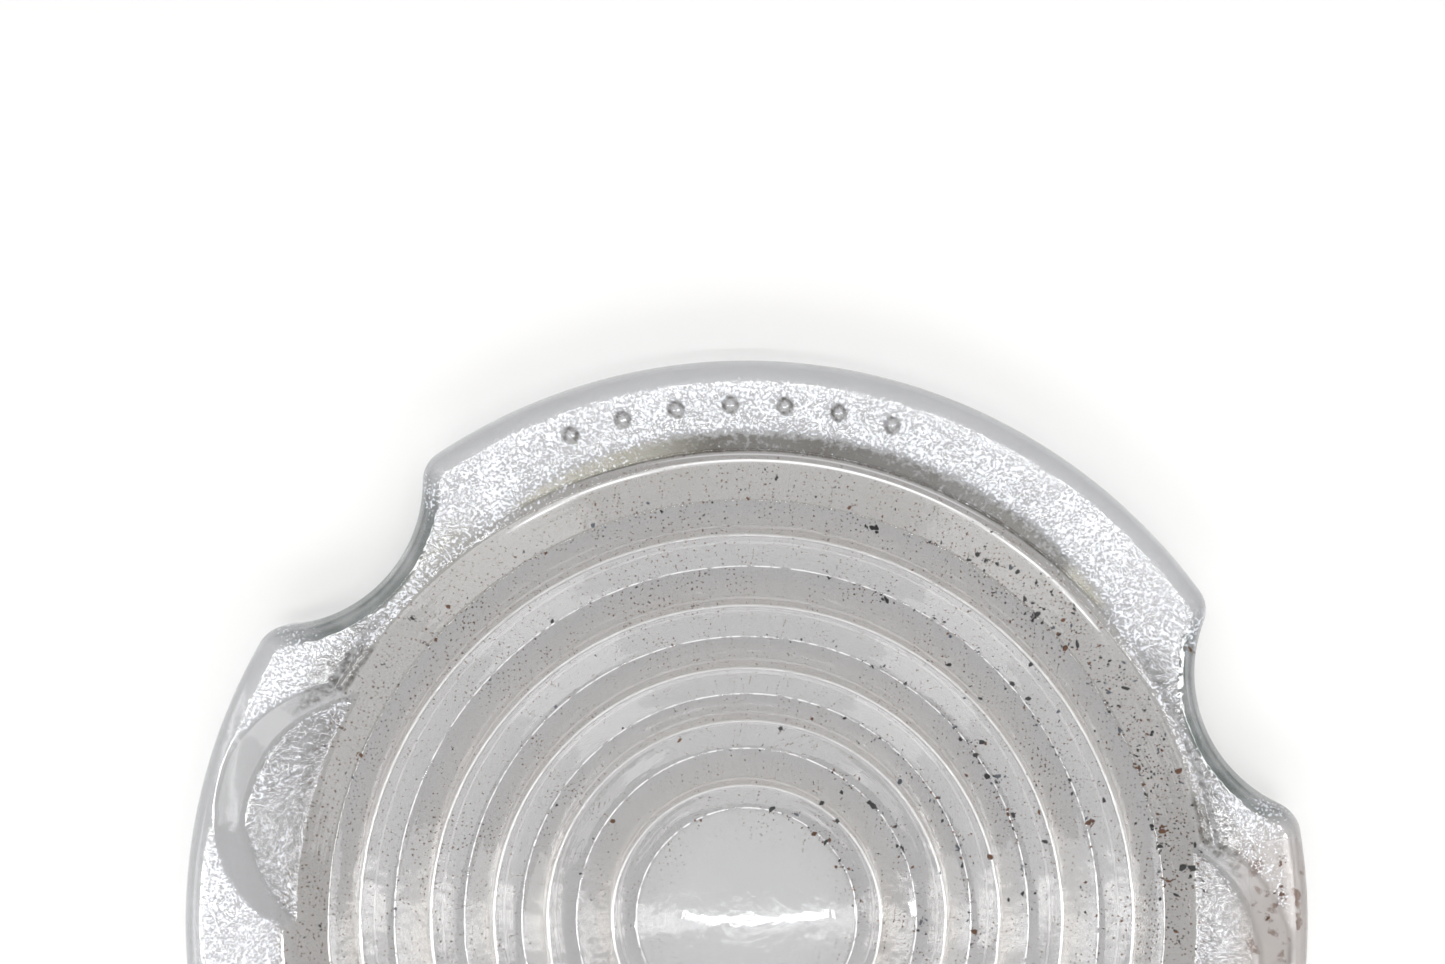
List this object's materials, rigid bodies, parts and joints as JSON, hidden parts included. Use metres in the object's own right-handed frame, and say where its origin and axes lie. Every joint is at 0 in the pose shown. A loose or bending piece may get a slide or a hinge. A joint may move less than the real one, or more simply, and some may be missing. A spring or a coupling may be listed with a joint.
{
  "type": "stepped glass lens",
  "caption": "Round pressed-glass lamp lens with a domed centre, concentric ribs and a stippled raised rim cut by rounded notches and clip seats.",
  "frame": {"origin": "centre of the flat back face", "axes": "+Z along the lens axis towards the ribbed face, +Y to the middle of the long rim segment that carries the mould marks, +X to the right-hand lug, where one clip seat is"},
  "size_m": [0.2, 0.2, 0.0119],
  "materials": {
    "clear_glass": "clear pressed glass, stippled rim, light dust film",
    "grime": "matt crumbs of old paint, rust and soot lying in the grooves"
  },
  "bodies": {
    "root": {"lens": "clear_glass"}
  },
  "joints": []
}
